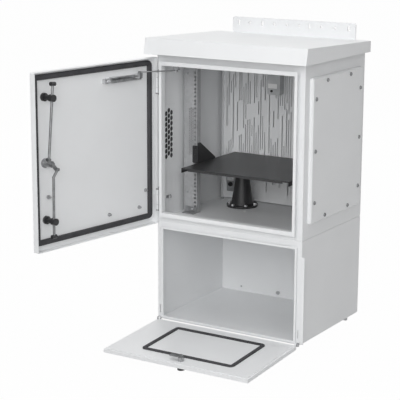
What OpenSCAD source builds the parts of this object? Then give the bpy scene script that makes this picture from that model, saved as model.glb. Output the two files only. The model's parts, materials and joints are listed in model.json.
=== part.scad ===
// Roadside equipment cabinet: a tall upper compartment with a side-hung door over a low
// compartment with a drop-down door, under a sloping rain hood, hung from strips at its back.
// Millimetres, +Z up, front towards -Y, origin at the middle of the cabinet's underside.

/* [Cabinet] */
// Width of both bodies
body_w = 600; // [560:5:680]
// Depth of both bodies
body_d = 466; // [440:2:520]
// Height of the lower body
lower_h = 379; // [360:1:420]
// Height of the upper body
upper_h = 636; // [620:1:700]
// Thickness of the body sheet
sheet = 2; // [1.5:0.5:3]

/* [Upper opening] */
// Width of the front beside the upper opening
frame_side = 30.5; // [28:0.5:50]
// Height of the front above the upper opening
frame_head = 62; // [58:1:80]
// Height of the opening's sill above the seam
sill_h = 32; // [28:1:40]
// How far the sealing lip stands out of the front
lip_reach = 22; // [16:1:24]
// Width of the lip's folded edge at the sides
lip_side = 11; // [8:1:13]
// Width of the lip's folded edge at top and bottom
lip_end = 15; // [10:1:16]

/* [Upper door] */
// Distance of the upper door's edges from the body's sides
door_side = 2; // [0:0.5:4]
// Distance of the upper door's top below the body's top
door_top = 35; // [32:1:40]
// Drop of the upper door below the seam
door_drop = 11; // [6:1:12]
// Depth of the upper door's pan
door_depth = 22; // [20:1:26]
// Gap between the door's edge and the front
door_gap = 13; // [11:1:15]
// Angle to which the door stands open
door_open = 99; // [60:1:105]
// Width of the upper door's seal
seal_w = 19; // [14:1:20]

/* [Door hinges] */
// Distance of the hinge pin from the door's edge
hinge_inset = 4; // [3:0.5:5]
// Radius of the hinge knuckles
knuckle_r = 5; // [4.5:0.25:5.5]
// Radius of the hinge pins
pin_r = 3; // [2:0.25:3.5]
// Height of the middle knuckle on the door
knuckle_h = 36; // [30:1:44]
// Height of the lower door hinge above the seam
hinge_low = 78; // [70:1:110]
// Distance of the upper door hinge below the door's top
hinge_top = 91; // [80:1:120]

/* [Rod lock] */
// Distance of the lock from the opening's side
lock_inset = 26.5; // [26:0.5:40]
// Height of the lock above the seam
lock_h = 291; // [270:1:310]
// Radius at which the rods are pinned to the cam
crank_r = 27; // [20:1:27]
// Slope of the cam's line of pins while unlocked
crank_rest = 45; // [44:1:60]
// Radius of the rods
rod_r = 4.5; // [3:0.25:4.75]
// Distance of the rods' ends from the opening's edges while unlocked
rod_clear = 12; // [10:1:20]
// Distance of the upper guide from its rod's end
guide_up = 47; // [40:1:70]
// Distance of the lower guide from its rod's end
guide_down = 51; // [40:1:70]

/* [Door stay] */
// Distance of the stay's pivot from the opening's side
stay_inset = 44.5; // [40:0.5:50]
// Drop of the stay rod below the opening's top edge
stay_drop = 18; // [16:1:22]
// Distance of the slider from the opening's side while the door stands open
slider_open = 63.5; // [62:0.5:68]
// Length of the channel that the slider runs in
channel_l = 148; // [144:1:160]

/* [Lower opening and door] */
// Width of the front beside the lower opening
flap_side = 25; // [23:0.5:40]
// Height of the front above the lower opening
flap_head = 32; // [30:1:50]
// Height of the lower opening's sill
flap_sill = 12; // [11:1:16]
// Distance of the lower door's edges from the body's sides
flap_gap = 6; // [6:0.5:9]
// Distance of the lower door's top below the seam
flap_top = 25; // [22:1:28]
// Thickness of the lower door
flap_t = 14; // [10:1:16]
// Angle to which the lower door drops open
flap_open = 93; // [80:1:95]
// Width of the seal on the lower door
flap_seal_w = 376; // [340:2:420]
// Height of the seal on the lower door
flap_seal_h = 229; // [200:1:240]

/* [Rain hood] */
// Overhang of the hood at each side
hood_side = 27; // [22:1:40]
// Overhang of the hood's front edge
hood_front = 50; // [44:1:60]
// Height of the hood's front
hood_h = 57; // [52:1:70]
// Fall of the hood's top from front to back
hood_fall = 18; // [8:1:20]
// Thickness of the hood's sheet
hood_t = 1.5; // [1:0.25:2]

/* [Back strips] */
// Distance of the upper strip's ends from the body's sides
strip_side = 40; // [20:1:50]
// Height of the upper strip above the hood's back edge
strip_rise = 59; // [50:1:70]
// Distance of the lower strip's ends from the body's sides
low_strip_side = 42; // [20:1:60]
// How far the lower strip hangs below the cabinet
low_strip_drop = 44; // [34:1:60]
// Thickness of both strips
strip_t = 4; // [3:0.5:6]
// Radius of the strips' round holes
strip_hole_r = 4.5; // [3.5:0.25:5.5]

/* [Side cover] */
// Distance of the side cover from the body's front and back
cover_side = 35; // [25:1:45]
// Height of the side cover's lower edge above the seam
cover_low = 50.5; // [40:0.5:60]
// Distance of the side cover's top below the body's top
cover_high = 71.5; // [60:0.5:80]
// Thickness of the side cover
cover_t = 13; // [9:1:16]

/* [Rack and shelf] */
// Distance of the rails' inner edges from the body's sides
rail_inset = 75; // [70:1:75]
// Distance of the rails behind the front
rail_back = 150; // [140:1:180]
// The rail hole that takes the shelf bracket's lower bolt
shelf_hole = 13; // [10:1:16]
// Distance of the shelf behind the front
shelf_front = 40; // [34:1:60]
// Distance of the shelf from the body's back
shelf_back = 41; // [36:1:60]
// Radius of the pedestal's foot
pedestal_r = 60; // [50:1:66]

/* [Hidden] */
$fn = 48;

// Colours
paint = [0.88, 0.89, 0.89];
zinc = [0.72, 0.73, 0.74];
black = [0.10, 0.10, 0.11];
seal_grey = [0.20, 0.20, 0.21];

// Clearances
run = 0.05;
bolt_gap = 0.2;
air = 0.4;

// Main planes
front_y = -body_d / 2;
back_y = body_d / 2;
side_x = body_w / 2;
top_z = lower_h + upper_h;
floor_z = lower_h + sheet;
sill_z = lower_h + sill_h;
opening_w = body_w - 2 * frame_side;
opening_h = upper_h - sill_h - frame_head;
opening_x = opening_w / 2;
opening_z = sill_z + opening_h / 2;
opening_top = sill_z + opening_h;

// Upper door, given closed
door_w = body_w - 2 * door_side;
door_h = upper_h + door_drop - door_top;
door_x0 = -door_w / 2;
door_z0 = lower_h - door_drop;
door_edge_y = front_y - door_gap;
door_face_y = door_edge_y - door_depth;
door_floor_y = door_face_y + sheet;
hinge_x = door_x0 + hinge_inset;
hinge_y = door_edge_y;
hinge_zs = [lower_h + hinge_low, door_z0 + door_h - hinge_top];
hinge_knuckle_h = 18;
hinge_air = 1;
hinge_notch = knuckle_r + 1.5;
seal_x0 = -opening_x - lip_side;
seal_x1 = min(opening_x + 25, door_w / 2 - sheet - 1.5);
seal_z0 = max(sill_z - 22, door_z0 + sheet + 1.5);
seal_z1 = min(opening_top + 17.5, door_z0 + door_h - sheet - 1.5);
seal_corner = 14;
seal_top_y = front_y - lip_reach - 0.3;

// Rod lock, given closed
lock_x = opening_x - lock_inset;
lock_z = lower_h + lock_h;
rod_y = front_y + 10;
cam_t = 4;
cam_w = 13;
cam_y = rod_y - rod_r - 1 - cam_t;
eye_r = rod_r + 1.25;
crank_pin_r = 3;
barrel_r = 8;
guide_base_r = 14;
guide_base_h = 10;
guide_neck_r = 9;
guide_r = 12;
guide_slot = 2 * rod_r + 6;
guide_cap = 4;
rod_end_r = 7;
rod_end_l = 20;
crank_x = crank_r * cos(crank_rest);
crank_z = crank_r * sin(crank_rest);
rod_up = opening_top - rod_clear - lock_z - crank_z;
rod_down = lock_z - crank_z - sill_z - rod_clear;
rod_head = [-crank_x * rod_up / (rod_up - guide_up), rod_up];
rod_knee = [crank_x, -24];
rod_foot = [crank_x + 3, -rod_down];

// Door stay: the pivot in the cabinet, the channel on the door, given closed
stay_x = -opening_x + stay_inset;
stay_y = front_y + 6;
stay_z = opening_top - stay_drop;
stay_r = 2.25;
stay_eye = stay_r + 0.5;
stay_pin_r = 2.5;
slider_w = 16;
slider_x = -opening_x + slider_open;
slider_y = door_edge_y - 2;
channel_x = slider_x - slider_w / 2 - 4;
channel_h = 20;
channel_d = 15;
channel_wall = 1.5;
channel_top = stay_z - stay_r - 5;
channel_slot = 7;
slot_z = channel_top - 3.5 - channel_slot / 2;

// The slider's place while the door stands open, turned about the hinge
slide_dx = slider_x - hinge_x;
slide_dy = slider_y - hinge_y;
stay_end_x = hinge_x + slide_dx * cos(door_open) + slide_dy * sin(door_open);
stay_end_y = hinge_y - slide_dx * sin(door_open) + slide_dy * cos(door_open);
stay_l = sqrt(pow(stay_end_x - stay_x, 2) + pow(stay_end_y - stay_y, 2));
stay_turn = atan2(stay_end_y - stay_y, stay_end_x - stay_x);

// Lower door, given closed
flap_axis_y = front_y - 8;
flap_axis_z = 1;
flap_z0 = flap_axis_z + 3;
flap_w = body_w - 2 * flap_gap;
flap_h = lower_h - flap_top - flap_z0;
flap_opening_w = body_w - 2 * flap_side;
flap_opening_h = lower_h - flap_sill - flap_head;
flap_face_y = flap_axis_y - flap_t;
flap_lip = 6;
flap_lip_w = flap_side - 17;
flap_rim = 14;
flap_liner_inset = 7;
flap_slit_z = 22;
flap_slit_h = 32;
flap_slit_w = 3;
flap_opening_z = flap_sill + flap_opening_h / 2;
flap_pin_r = 3;
flap_knuckle_r = 6.5;
flap_ear = 6;
flap_ear_x = flap_w / 2 - 10;
flap_lug = 6.4;
flap_seal_t = 5;
flap_seal_band = 10;
flap_seal_x = 11;
flap_seal_z = flap_axis_z + 54 + flap_seal_h / 2;
latch_x = 10;
latch_z = flap_z0 + flap_h - 33;
latch_shaft_r = 6;
latch_nut_r = 12;
latch_nut_h = 14;
latch_tongue_l = 42;
latch_tongue_t = 4;

// Hood
hood_z = top_z - 21;
hood_lean = 13;
hood_back_z = hood_z + hood_h - hood_fall;
hood_rail_x = side_x - 100;
hood_corner = 14;
hood_rail_w = 30;

// Back strips and their holes
strip_w = body_w - 2 * strip_side;
strip_unit = strip_w / 520;
low_strip_w = body_w - 2 * low_strip_side;
strip_z0 = top_z - 85;
strip_top = hood_back_z + strip_rise;
strip_hole_z = strip_top - 21;
strip_slots = [-233, -131, 69, 231];
strip_rounds = [-185, -80, -26, 26, 120, 175];
strip_slot_h = 20;
low_strip_top = 66;
low_strip_holes = [-180, -60, 60, 180];
strip_bolt_r = 4;
strip_bolts_x = [-210, -75, 75, 210];
strip_bolt_z = strip_z0 + 25;
low_strip_bolts_x = [-210, -42, 42, 210];
low_strip_studs_x = [-42, 42];
low_strip_bolt_z = 21;

// Side cover and its screws
cover_w = body_d - 2 * cover_side;
cover_h = upper_h - cover_low - cover_high;
cover_z = lower_h + cover_low + cover_h / 2;
cover_open_w = cover_w - 76;
cover_open_h = cover_h - 66;
screw_r = 3;
screw_head_r = 7;
screw_head_h = 4.5;
cover_row = cover_h / 2 - 17;
cover_col = cover_w / 2 - 24;
cover_step_z = 0.354 * cover_h;
cover_step_y = 0.231 * cover_w;
cover_screws = concat(
    [for (s = [-1, 1], k = [-1, 0, 1]) [s * cover_col, k * cover_step_z]],
    [for (s = [-1, 1], k = [-1, 1]) [k * cover_step_y, s * cover_row]]
);

// Vent in the left wall
vent_y = front_y + 70;
vent_z = lower_h + upper_h / 2 - 6;
vent_w = 58;
vent_h = 196;
vent_rim = 10;
vent_t = 1;
vent_hole_r = 9.2;
vent_filter_t = 3;
vent_hood_d = 26;
vent_hood_rim = 12;
vent_pitch = 20;
vent_step = 17.4;

// Slitted back panel
panel_gap = 22;
panel_edge = 12;
panel_y = back_y - sheet - panel_gap - sheet;
panel_w = body_w - 2 * sheet - 28;
panel_z0 = floor_z + 3;
panel_h = upper_h - 2 * sheet - 8;
slit_w = 4;
slit_pitch = 9.4;
slit_count = floor((panel_w - 22) / slit_pitch);
slit_low = panel_z0 + 28;
slit_high = panel_z0 + panel_h - 30;
standoff_r = 6;
standoff_x = panel_w / 2 - 12;

// Rack rails: three holes in each rack unit
rack_unit = 44.45;
rail_y = front_y + rail_back;
rail_gap = body_w - 2 * rail_inset;
rail_units = floor((upper_h - 2 * sheet - 38) / rack_unit);
rail_w = rail_inset - sheet - 17;
rail_t = 2;
rail_flange = 24;
rail_x = rail_gap / 2;
rail_hole_x = rail_x + 7.6;
rail_hole_r = 4.2;
rail_z0 = floor_z + 19;
rail_steps = [6.35, 22.225, 38.1];
rail_holes = [for (u = [0 : rail_units - 1], s = rail_steps) rail_z0 + u * rack_unit + s];
patch_low = vent_z - 88;
patch_high = vent_z + 88;
foot_t = 3;
foot_h = 24;
foot_d = 25;

// Shelf on the rails
shelf_t = 2;
shelf_w = rail_gap - 4;
shelf_d = body_d - shelf_front - shelf_back;
shelf_top = rail_holes[shelf_hole] - 27;
shelf_under = shelf_top - shelf_t;
shelf_y = front_y + shelf_front;
shelf_lip = 8;
runner_w = 26;
runner_h = 15;
runner_t = 2.5;
bracket_t = 3;
bracket_w = 23;
bracket_h = 66;
bracket_d = 126;
bracket_bolt_r = 3;
bracket_holes = [rail_holes[shelf_hole], rail_holes[shelf_hole + 2]];

// Pedestal between the floor and the shelf
pedestal_side = 155;
pedestal_back = 114;
pedestal_x = -side_x + pedestal_side;
pedestal_y = back_y - pedestal_back;
pedestal_foot_t = 8;
pedestal_cone_r = pedestal_r - 17;
pedestal_neck_r = 14;
pedestal_cap_r = 30;
pedestal_cap_t = 5;
pedestal_wall = 5;
pedestal_bolt_r = 4;
pedestal_bolts_n = 6;
pedestal_pcd = 2 * pedestal_r - 19;

// Sensor box on the back panel
sensor_x = -45;
sensor_z = top_z - 166;
sensor_w = 54;
sensor_h = 74;
sensor_d = 34;
sensor_knob_r = 4.5;
sensor_knob_x = sensor_x - 8;

// Right front corner strip
corner_w = 13.5;
corner_t = 2;
corner_h = lower_h - 58;

// Rounded rectangle, centred
module rounded_rect(w, h, r) {
    square([w - 2 * r, h], center = true);
    square([w, h - 2 * r], center = true);
    for (x = [-1, 1], y = [-1, 1])
        translate([x * (w / 2 - r), y * (h / 2 - r)]) circle(r);
}

// Rectangular frame round an inner opening
module frame_2d(w, h, side, end) {
    difference() {
        square([w + 2 * side, h + 2 * end], center = true);
        square([w, h], center = true);
    }
}

// A flat drawing of X and Z, made solid from y0 to y1
module along_y(y0, y1) {
    translate([0, y1, 0]) rotate([90, 0, 0]) linear_extrude(y1 - y0) children();
}

// A flat drawing of Y and Z, made solid from x0 to x1
module along_x(x0, x1) {
    translate([x0, 0, 0]) rotate([90, 0, 90]) linear_extrude(x1 - x0) children();
}

// A round bar from y0 to y1
module bar_y(r, y0, y1) {
    translate([0, y1, 0]) rotate([90, 0, 0]) cylinder(r = r, h = y1 - y0);
}

// A round bar from x0 to x1
module bar_x(r, x0, x1) {
    translate([x0, 0, 0]) rotate([0, 90, 0]) cylinder(r = r, h = x1 - x0);
}

// Box between two corners
module box(low, high) {
    translate(low) cube(high - low);
}

// Carries a closed door piece to the open door
module on_door() {
    translate([hinge_x, hinge_y, 0]) rotate([0, 0, -door_open]) translate([-hinge_x, -hinge_y, 0]) children();
}

// Carries a closed lower-door piece to the dropped door
module on_flap() {
    translate([0, flap_axis_y, flap_axis_z]) rotate([flap_open, 0, 0])
        translate([0, -flap_axis_y, -flap_axis_z]) children();
}

// Sheet box with its walls inside the given corners
module sheet_box(low, high) {
    wall = [sheet, sheet, sheet];
    difference() {
        box(low, high);
        box(low + wall, high - wall);
    }
}

// Sealing lip: a wall round the opening with its front edge folded outwards
module lip(w, h, reach, side, end) {
    along_y(front_y - reach, front_y + sheet) frame_2d(w, h, sheet, sheet);
    along_y(front_y - reach, front_y - reach + sheet) frame_2d(w, h, side, end);
}

// Pan-head screw along -Y: the head sits at the origin and the shank runs to +Y
module screw(r, head_r, head_h, shank) {
    difference() {
        bar_y(head_r, -head_h, 0);
        bar_y(head_r * 0.45, -head_h - 1, -head_h / 2);
    }
    bar_y(r, -0.01, shank);
}

// Places its children at the side cover's screws, with their heads towards +X
module at_cover_screws(x) {
    for (s = cover_screws)
        translate([x, s[0], cover_z + s[1]]) rotate([0, 0, 90]) children();
}

// Places its children at the pedestal's bolts
module at_pedestal_bolts(z) {
    for (k = [0 : pedestal_bolts_n - 1])
        translate([pedestal_x, pedestal_y, z]) rotate([0, 0, 360 / pedestal_bolts_n * k + 15])
            translate([pedestal_pcd / 2, 0, 0]) children();
}

// Places its children at the bolts of the two back strips
module at_strip_bolts() {
    for (x = strip_bolts_x) translate([x * strip_unit, 0, strip_bolt_z]) children();
    for (x = low_strip_bolts_x) translate([x * strip_unit, 0, low_strip_bolt_z]) children();
}

// Places its children at the bolts that join the two bodies
module at_joining_bolts() {
    for (x = [-1, 1], y = [-1, 1])
        translate([x * (side_x - 25), y * (body_d / 2 - 45), 0]) children();
}

module upper_body() {
    color(paint) difference() {
        union() {
            difference() {
                sheet_box([-side_x, front_y, lower_h], [side_x, back_y, top_z]);
                along_y(front_y - 1, front_y + sheet + 1) translate([0, opening_z])
                    square([opening_w, opening_h], center = true);
            }
            translate([0, 0, opening_z]) lip(opening_w, opening_h, lip_reach, lip_side, lip_end);
        }
        along_x(side_x - sheet - 1, side_x + 1) translate([0, cover_z])
            square([cover_open_w, cover_open_h], center = true);
        at_cover_screws(side_x - sheet - 1) bar_y(screw_r + bolt_gap, -sheet - 2, sheet + 2);
        along_x(-side_x - 1, -side_x + sheet + 1) translate([vent_y, vent_z])
            square([vent_w, vent_h], center = true);
        at_pedestal_bolts(lower_h - 1) cylinder(r = pedestal_bolt_r + bolt_gap, h = sheet + 2);
        at_joining_bolts() translate([0, 0, lower_h - 1])
            cylinder(r = strip_bolt_r + bolt_gap, h = sheet + 2);
        at_strip_bolts() bar_y(strip_bolt_r + bolt_gap, back_y - sheet - 1, back_y + 1);
    }
}

module lower_body() {
    color(paint) difference() {
        union() {
            difference() {
                sheet_box([-side_x, front_y, 0], [side_x, back_y, lower_h]);
                along_y(front_y - 1, front_y + sheet + 1) translate([0, flap_opening_z])
                    square([flap_opening_w, flap_opening_h], center = true);
            }
            translate([0, 0, flap_opening_z])
                lip(flap_opening_w, flap_opening_h, flap_lip, flap_lip_w, flap_lip_w);
            box(
                [-side_x + sheet, front_y + sheet, lower_h - 2 * sheet],
                [side_x - sheet, back_y - sheet, lower_h - sheet]
            );
        }
        for (s = [-1, 1]) translate([s * (side_x - 10), 0, flap_slit_z])
            box([-flap_slit_w / 2, front_y - 1, 0], [flap_slit_w / 2, front_y + sheet + 1, flap_slit_h]);
        seam_groove();
        at_joining_bolts() translate([0, 0, lower_h - 2 * sheet - 1])
            cylinder(r = strip_bolt_r + bolt_gap, h = 2 * sheet + 2);
        at_pedestal_bolts(lower_h - 2 * sheet - 1)
            cylinder(r = pedestal_bolt_r + bolt_gap, h = 2 * sheet + 2);
        at_strip_bolts() bar_y(strip_bolt_r + bolt_gap, back_y - sheet - 1, back_y + 1);
    }
}

// Groove round the outside under the seam
module seam_groove() {
    depth = sheet - 0.5;
    high = 3;
    translate([0, 0, lower_h - high]) linear_extrude(high + 1) difference() {
        square([body_w + 2, body_d + 2], center = true);
        square([body_w - 2 * depth, body_d - 2 * depth], center = true);
    }
}

// Side outline of the hood, moved in by t from its skin
function hood_outline(t, low, back) = [
    [front_y - hood_front + t, low],
    [front_y - hood_front + hood_lean + t, hood_z + hood_h - t],
    [back, hood_back_z - t],
    [back, low]
];

// Hood seen from above, moved in by t from its skin: square in front, rounded at the back corners
module hood_plan(t) {
    half = side_x + hood_side - t;
    y0 = front_y - hood_front - 10;
    y1 = back_y - t;
    r = hood_corner - t;
    translate([-half, y0]) square([2 * half, y1 - r - y0]);
    translate([-half + r, y0]) square([2 * half - 2 * r, y1 - y0]);
    for (s = [-1, 1]) translate([s * (half - r), y1 - r]) circle(r);
}

module roof_hood() {
    half = side_x + hood_side;
    color(paint) difference() {
        intersection() {
            along_x(-half, half) polygon(hood_outline(0, hood_z, back_y));
            translate([0, 0, hood_z - 1]) linear_extrude(hood_h + 2) hood_plan(0);
        }
        intersection() {
            along_x(-half + hood_t, half - hood_t) polygon(hood_outline(hood_t, hood_z - 1, back_y + 1));
            translate([0, 0, hood_z - 2]) linear_extrude(hood_h + 4) {
                hood_plan(hood_t);
                translate([-side_x - 1, 0]) square([body_w + 2, back_y + 1]);
            }
        }
    }
}

// Height of the hood's underside over a place y
function hood_under(y) =
    hood_z + hood_h - hood_t
    - hood_fall * (y - (front_y - hood_front + hood_lean)) / (body_d + hood_front - hood_lean);

module roof_rails() {
    ya = front_y + 30;
    yb = back_y - 30;
    color(zinc) for (s = [-1, 1])
        along_x(s * hood_rail_x - hood_rail_w / 2, s * hood_rail_x + hood_rail_w / 2)
            polygon([[ya, top_z], [ya, hood_under(ya) - 0.1], [yb, hood_under(yb) - 0.1], [yb, top_z]]);
}

module upper_strip() {
    h = strip_top - strip_z0;
    color(paint) along_y(back_y, back_y + strip_t) difference() {
        translate([0, strip_z0 + h / 2]) rounded_rect(strip_w, h, 8);
        for (x = strip_rounds) translate([x * strip_unit, strip_hole_z]) circle(strip_hole_r);
        for (x = strip_slots) translate([x * strip_unit, strip_hole_z])
            rounded_rect(2 * strip_hole_r, strip_slot_h, strip_hole_r - 0.01);
        at_strip_holes_2d(strip_bolts_x, strip_bolt_z);
    }
}

module lower_strip() {
    h = low_strip_top + low_strip_drop;
    color(paint) along_y(back_y, back_y + strip_t) difference() {
        translate([0, low_strip_top - h / 2]) rounded_rect(low_strip_w, h, 6);
        for (x = low_strip_holes) translate([x * strip_unit, -low_strip_drop / 2]) circle(strip_hole_r);
        at_strip_holes_2d(low_strip_bolts_x, low_strip_bolt_z);
    }
}

// Clearance holes for the bolts of one strip
module at_strip_holes_2d(places, z) {
    for (x = places) translate([x * strip_unit, z]) circle(strip_bolt_r + bolt_gap);
}

// Bolts of both strips: two of the lower ones carry a nut inside
module strip_bolts() {
    y1 = back_y - sheet;
    color(zinc) {
        at_strip_bolts() {
            bar_y(strip_bolt_r, y1, back_y + strip_t + 0.01);
            translate([0, back_y + strip_t + 5, 0]) rotate([90, 0, 0]) cylinder(r = 7.5, h = 5, $fn = 6);
        }
        for (x = low_strip_studs_x) translate([x * strip_unit, 0, low_strip_bolt_z]) {
            bar_y(strip_bolt_r, y1 - 12, y1 + 0.01);
            translate([0, y1, 0]) rotate([90, 0, 0]) cylinder(r = 8, h = 6, $fn = 6);
        }
    }
}

module joining_bolts() {
    color(zinc) at_joining_bolts() {
        translate([0, 0, lower_h - sheet - 12]) cylinder(r = strip_bolt_r, h = 12 + 2 * sheet + 0.01);
        translate([0, 0, lower_h + sheet]) cylinder(r = 7.5, h = 5, $fn = 6);
    }
}

module corner_strip() {
    x0 = side_x - 2;
    color(paint) box([x0, front_y - corner_t, 2], [x0 + corner_w, front_y, corner_h]);
}

module side_cover() {
    edge = 5;
    color(paint) difference() {
        hull() {
            along_x(side_x, side_x + cover_t - edge) translate([0, cover_z])
                rounded_rect(cover_w, cover_h, 8);
            along_x(side_x, side_x + cover_t) translate([0, cover_z])
                rounded_rect(cover_w - 2 * edge, cover_h - 2 * edge, 6);
        }
        difference() {
            along_x(side_x - 1, side_x + cover_t - sheet) translate([0, cover_z])
                rounded_rect(cover_w - 2 * edge - 4, cover_h - 2 * edge - 4, 5);
            at_cover_screws(side_x) bar_y(screw_r + 5, -cover_t, 2);
        }
        at_cover_screws(side_x) bar_y(screw_r + bolt_gap, -cover_t - 1, 1);
    }
}

module side_cover_screws() {
    color(zinc) at_cover_screws(side_x + cover_t)
        screw(screw_r, screw_head_r, screw_head_h, cover_t + sheet + 4);
}

module vent_grille() {
    cols = floor(vent_w / vent_step) - 1;
    rows = floor(vent_h / vent_pitch) - 1;
    x0 = -side_x + sheet;
    color(paint) along_x(x0, x0 + vent_t) translate([vent_y, vent_z]) difference() {
        square([vent_w + 2 * vent_rim, vent_h + 2 * vent_rim], center = true);
        for (c = [0 : cols], r = [0 : rows])
            translate([(c - cols / 2) * vent_step, (r - rows / 2 + (c % 2) / 2 - 0.25) * vent_pitch])
                circle(vent_hole_r);
    }
}

// Filter mat that fills the cut-out behind the grille
module vent_filter() {
    x1 = -side_x + sheet;
    color(black) along_x(x1 - vent_filter_t, x1) translate([vent_y, vent_z])
        square([vent_w - 2 * air, vent_h - 2 * air], center = true);
}

// Side outline of the vent hood, seen along the wall
function vent_outline(t, low) = [
    [0, low],
    [0, vent_h / 2 + vent_hood_rim - t],
    [-vent_hood_d + t, vent_h / 2 + vent_hood_rim - 20 - t],
    [-vent_hood_d + t, low]
];

module vent_hood() {
    low = -vent_h / 2 - vent_hood_rim;
    half = vent_w / 2 + vent_hood_rim;
    color(paint) translate([-side_x, 0, vent_z]) difference() {
        along_y(vent_y - half, vent_y + half) polygon(vent_outline(0, low));
        along_y(vent_y - half + vent_t, vent_y + half - vent_t) translate([1, 0])
            polygon(vent_outline(vent_t + 1, low - 1));
    }
}

// Uneven slits: shares of the panel's height for each column, always the same
slit_foot = rands(0.02, 0.32, slit_count, 11);
slit_low_l = rands(0.08, 0.34, slit_count, 23);
slit_next = rands(0.40, 0.78, slit_count, 37);
slit_high_l = rands(0.07, 0.36, slit_count, 53);
slit_kind = rands(0, 1, slit_count, 71);

// One column of slits: two short ones to the left, a long broken one in every other place to the right
module slit_column(k, span) {
    right = k > 0.48 * slit_count;
    foot = right ? 0.5 * slit_foot[k] : slit_foot[k];
    low_l = right ? slit_next[k] - foot - 0.04 : slit_low_l[k];
    high_l = right ? 0.96 - slit_next[k] : slit_high_l[k];
    top = min(0.99, slit_next[k] + high_l);
    if (!right || slit_kind[k] > 0.48) {
        translate([0, span * foot]) square([slit_w, span * low_l]);
        translate([0, span * slit_next[k]]) square([slit_w, span * (top - slit_next[k])]);
    }
}

module back_panel() {
    span = slit_high - slit_low;
    x1 = panel_w / 2;
    color(paint) {
        along_y(panel_y, panel_y + sheet) difference() {
            translate([0, panel_z0 + panel_h / 2]) square([panel_w, panel_h], center = true);
            for (k = [0 : slit_count - 1])
                translate([(k - (slit_count - 1) / 2) * slit_pitch - slit_w / 2, slit_low])
                    slit_column(k, span);
        }
        for (s = [0, 1]) mirror([s, 0, 0])
            box([x1 - sheet, panel_y - panel_edge, panel_z0], [x1, panel_y, panel_z0 + panel_h]);
    }
}

module panel_standoffs() {
    color(zinc) for (s = [-1, 1], z = [panel_z0 + 12, panel_z0 + panel_h - 12])
        translate([s * standoff_x, 0, z]) bar_y(standoff_r, panel_y + sheet, back_y - sheet);
}

// Right-hand rack rail: a folded box whose web faces the front
module rack_rail(patched) {
    z1 = top_z - sheet;
    along_y(rail_y, rail_y + rail_t) difference() {
        translate([rail_x, floor_z]) square([rail_w, z1 - floor_z]);
        for (z = rail_holes) translate([rail_hole_x, z]) circle(rail_hole_r);
        if (patched) for (c = [0 : 2], z = [patch_low : 9 : patch_high])
            translate([rail_hole_x + 10 + 7 * c, z + 4.5 * (c % 2)]) circle(2.4);
    }
    difference() {
        box([rail_x, rail_y + rail_t, floor_z], [rail_x + rail_w, rail_y + rail_flange, z1]);
        box(
            [rail_x + rail_t, rail_y, floor_z - 1],
            [rail_x + rail_w - rail_t, rail_y + rail_flange - rail_t, z1 + 1]
        );
    }
}

module rack_rail_left() {
    color(paint) mirror([1, 0, 0]) rack_rail(true);
}

module rack_rail_right() {
    color(paint) rack_rail(false);
}

module rail_feet() {
    color(zinc) for (s = [0, 1]) mirror([s, 0, 0]) difference() {
        union() {
            box([rail_x, rail_y - foot_t, floor_z], [rail_x + rail_w - 6, rail_y, floor_z + foot_h]);
            box([rail_x, rail_y - foot_d, floor_z], [rail_x + rail_w - 6, rail_y - foot_t, floor_z + foot_t]);
        }
        translate([rail_x + 20, 0, floor_z + foot_h / 2 + 2]) bar_y(3.2, rail_y - foot_t - 1, rail_y + 1);
    }
}

module shelf() {
    lip_w = shelf_w - 2 * runner_w - 2;
    color(black) {
        box([-shelf_w / 2, shelf_y, shelf_under], [shelf_w / 2, shelf_y + shelf_d, shelf_top]);
        box([-lip_w / 2, shelf_y, shelf_under - shelf_lip], [lip_w / 2, shelf_y + shelf_t, shelf_under]);
        box(
            [-lip_w / 2, shelf_y + shelf_d - shelf_t, shelf_under - shelf_lip],
            [lip_w / 2, shelf_y + shelf_d, shelf_under]
        );
    }
}

// Right-hand angle under the shelf's edge
module shelf_runner() {
    x1 = shelf_w / 2;
    ya = shelf_y - 1;
    yb = shelf_y + shelf_d;
    box([x1 - runner_w, ya, shelf_under - runner_t], [x1, yb, shelf_under]);
    box([x1 - runner_t, ya, shelf_under - runner_h], [x1, yb, shelf_under - runner_t]);
}

module shelf_runners() {
    color(black) for (s = [0, 1]) mirror([s, 0, 0]) shelf_runner();
}

// Right-hand shelf bracket: a gusset that stands on the shelf and a flange bolted to the rail
module shelf_bracket() {
    x1 = shelf_w / 2;
    ya = rail_y - bracket_t;
    difference() {
        union() {
            along_x(x1 - bracket_t, x1) polygon([
                [ya, shelf_top],
                [ya, shelf_top + bracket_h],
                [ya + bracket_t, shelf_top + bracket_h],
                [ya + bracket_t, shelf_top + bracket_h + 10],
                [ya + 20, shelf_top + bracket_h + 10],
                [ya + bracket_d, shelf_top + 6],
                [ya + bracket_d, shelf_top]
            ]);
            along_y(ya, rail_y) translate([x1 - bracket_t, shelf_top]) {
                translate([bracket_w / 2, bracket_h / 2]) rounded_rect(bracket_w, bracket_h, 5);
                square([bracket_w / 2, bracket_h]);
            }
        }
        for (z = bracket_holes)
            translate([rail_hole_x, 0, z]) bar_y(bracket_bolt_r + bolt_gap, ya - 1, rail_y + 1);
    }
}

module shelf_brackets() {
    color(black) for (s = [0, 1]) mirror([s, 0, 0]) shelf_bracket();
}

module bracket_bolts() {
    color(black) for (s = [-1, 1], z = bracket_holes) translate([s * rail_hole_x, rail_y - bracket_t, z])
        screw(bracket_bolt_r, 5, 3, bracket_t + rail_t + 4);
}

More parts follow.
